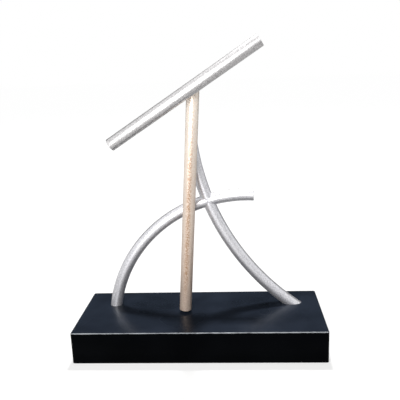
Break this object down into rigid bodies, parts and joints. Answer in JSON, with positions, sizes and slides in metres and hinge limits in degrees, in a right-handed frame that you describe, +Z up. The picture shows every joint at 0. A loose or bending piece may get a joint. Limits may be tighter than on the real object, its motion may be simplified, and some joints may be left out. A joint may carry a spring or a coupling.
{
  "type": "double pendulum desk toy",
  "caption": "Desk toy with a short tube that spins on the top of a long spinning tube, carried by crossed bent arms on a black box base with a hidden coil drive.",
  "frame": {"origin": "centre of the base footprint, on the surface that its rubber feet stand on", "axes": "+X along the base to the right, +Y from the front to the back, +Z up; the sticks turn about Y"},
  "size_m": [0.3, 0.12, 0.3696],
  "materials": {
    "deck_black": "satin",
    "plate_black": "matte",
    "box_black": "matte",
    "foot_rubber": "matte",
    "screw_steel": "satin",
    "ballast_steel": "satin",
    "cell_jacket": "gloss",
    "contact_metal": "polished",
    "lead_red": "satin",
    "lead_blue": "satin",
    "bobbin_ivory": "satin",
    "coil_copper": "gloss",
    "core_iron": "satin",
    "board_green": "satin",
    "component_black": "satin",
    "slider_red": "satin",
    "arm_silver": "satin",
    "stick_silver": "satin",
    "stick_champagne": "satin",
    "end_silver": "satin",
    "plug_steel": "satin",
    "plug_aluminium": "satin",
    "bearing_steel": "polished",
    "axle_steel": "polished",
    "magnet_nickel": "polished",
    "weight_steel": "satin"
  },
  "bodies": {
    "base": {"base_shell": "deck_black", "bottom_plate": "plate_black", "rubber_feet": "foot_rubber", "plate_screws": "screw_steel", "ballast_plate": "ballast_steel", "battery_box": "box_black", "battery_cells": "cell_jacket", "contact_springs": "contact_metal", "contact_plates": "contact_metal", "battery_leads": "lead_red", "coil_bobbin": "bobbin_ivory", "coil_winding": "coil_copper", "coil_core": "core_iron", "coil_leads": "coil_copper", "inner_screws": "screw_steel", "circuit_board": "board_green", "board_components": "component_black", "switch_body": "component_black", "switch_leads": "lead_blue", "tall_arm": "arm_silver", "tall_arm_cap": "end_silver", "tall_foot_plug": "plug_aluminium", "arm_pivot_plug": "plug_aluminium", "arch_arm": "arm_silver", "arch_tip": "arm_silver", "arch_end_cap": "end_silver", "arch_foot_plug": "plug_aluminium", "cross_stud": "screw_steel", "cross_plugs": "plug_aluminium", "foot_screws": "screw_steel", "foot_washers": "screw_steel", "main_axle": "axle_steel", "main_spacer": "axle_steel", "main_saddle": "axle_steel", "main_nut": "bearing_steel", "main_bearing_inner": "bearing_steel"},
    "long_stick": {"long_tube": "stick_champagne", "long_hub": "plug_steel", "main_bearing_outer": "bearing_steel", "main_ring": "axle_steel", "bottom_plug": "plug_steel", "drive_magnet": "magnet_nickel", "top_plug": "plug_aluminium", "top_axle": "axle_steel", "top_spacer": "axle_steel", "top_saddle": "axle_steel", "top_nut": "bearing_steel", "top_bearing_inner": "bearing_steel"},
    "short_stick": {"short_tube": "stick_silver", "short_hub": "plug_steel", "top_bearing_outer": "bearing_steel", "top_ring": "axle_steel", "short_plug_long_end": "end_silver", "short_plug_short_end": "end_silver", "balance_weight": "weight_steel"},
    "battery_door": {"battery_door": "plate_black"},
    "power_switch": {"switch_slider": "slider_red"}
  },
  "joints": [
    {"name": "long_stick_spin", "type": "hinge", "parent": "base", "child": "long_stick", "pos_m": [-0.004, -0.001, 0.242], "axis": [0, 1, 0], "continuous": true},
    {"name": "short_stick_spin", "type": "hinge", "parent": "long_stick", "child": "short_stick", "pos_m": [0.00147, -0.021, 0.3154], "axis": [0, 1, 0], "continuous": true},
    {"name": "battery_door_release", "type": "slide", "parent": "base", "child": "battery_door", "axis": [0, 0, -1], "range_m": [0, 0.012]},
    {"name": "power_switch_slide", "type": "slide", "parent": "base", "child": "power_switch", "axis": [1, 0, 0], "range_m": [0, 0.004]}
  ]
}
